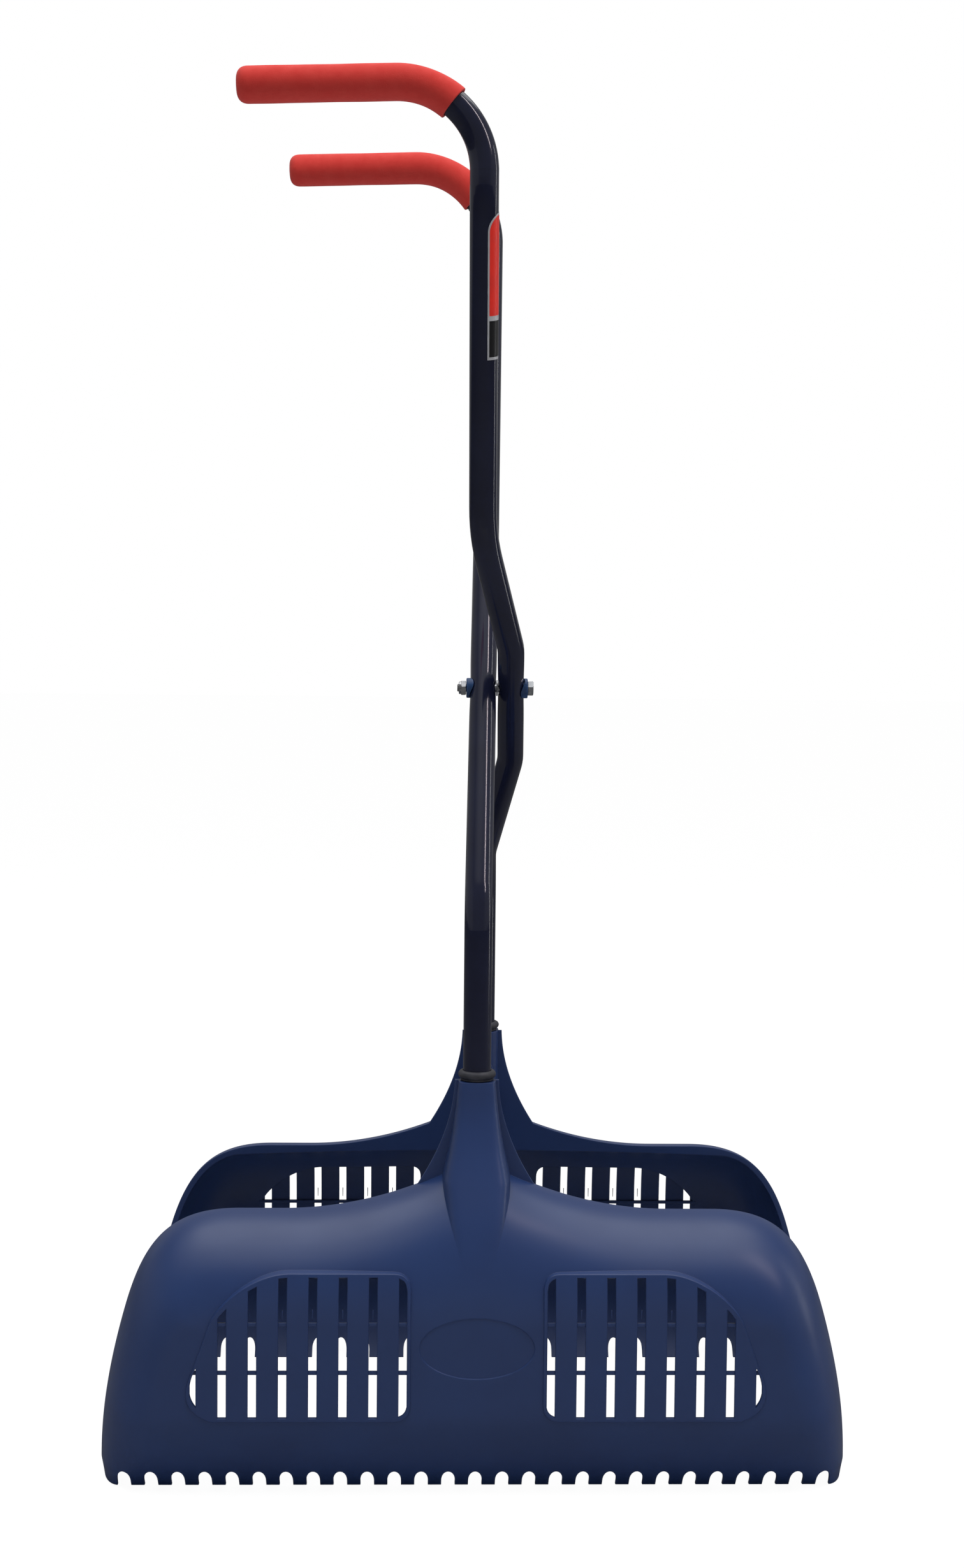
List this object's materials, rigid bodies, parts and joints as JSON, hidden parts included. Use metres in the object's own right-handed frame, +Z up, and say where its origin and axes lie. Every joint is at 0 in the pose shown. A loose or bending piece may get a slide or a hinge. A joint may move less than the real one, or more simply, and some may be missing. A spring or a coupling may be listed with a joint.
{
  "type": "long-handled leaf grabber",
  "caption": "Long-handled scissor-action leaf grabber: two bent steel tubes cross on a bolt, each with a foam grip above and a slotted, toothed plastic scoop below.",
  "frame": {"origin": "on the ground under the pivot, at the bottom centre of the bounding box", "axes": "+Z up; +X across the scoops, towards the bolt's head; +Y from the front scoop to the rear scoop"},
  "size_m": [0.5454, 0.346, 0.9879],
  "materials": {
    "tube_paint": "very dark navy gloss powder coat",
    "grip_foam": "matt red closed-cell foam",
    "end_plug": "black moulded plastic",
    "collar": "dark grey rubber-like plastic",
    "label": "printed film, red with silver and black",
    "scoop_plastic": "semi-matt navy moulded plastic",
    "zinc": "bright zinc plate",
    "saddle": "mid-blue moulded plastic",
    "nylon": "natural nylon"
  },
  "bodies": {
    "straight_arm": {"tube_straight": "tube_paint", "grip_rear": "grip_foam", "end_plug_rear": "end_plug", "scoop_front": "scoop_plastic", "socket_screw_front": "zinc", "socket_collar_front": "collar", "saddle_washer_nut": "saddle", "pivot_spacer": "zinc", "pivot_bolt": "zinc", "pivot_nut": "zinc", "nut_lock_ring": "nylon"},
    "stepped_arm": {"tube_stepped": "tube_paint", "grip_front": "grip_foam", "end_plug_front": "end_plug", "scoop_rear": "scoop_plastic", "socket_screw_rear": "zinc", "socket_collar_rear": "collar", "tube_label": "label", "saddle_washer_head": "saddle"}
  },
  "joints": [
    {"name": "scissor_pivot", "type": "hinge", "parent": "straight_arm", "child": "stepped_arm", "pos_m": [0.01045, 0, 0.5605], "axis": [1, 0, 0], "range_deg": [-20, 30]}
  ]
}
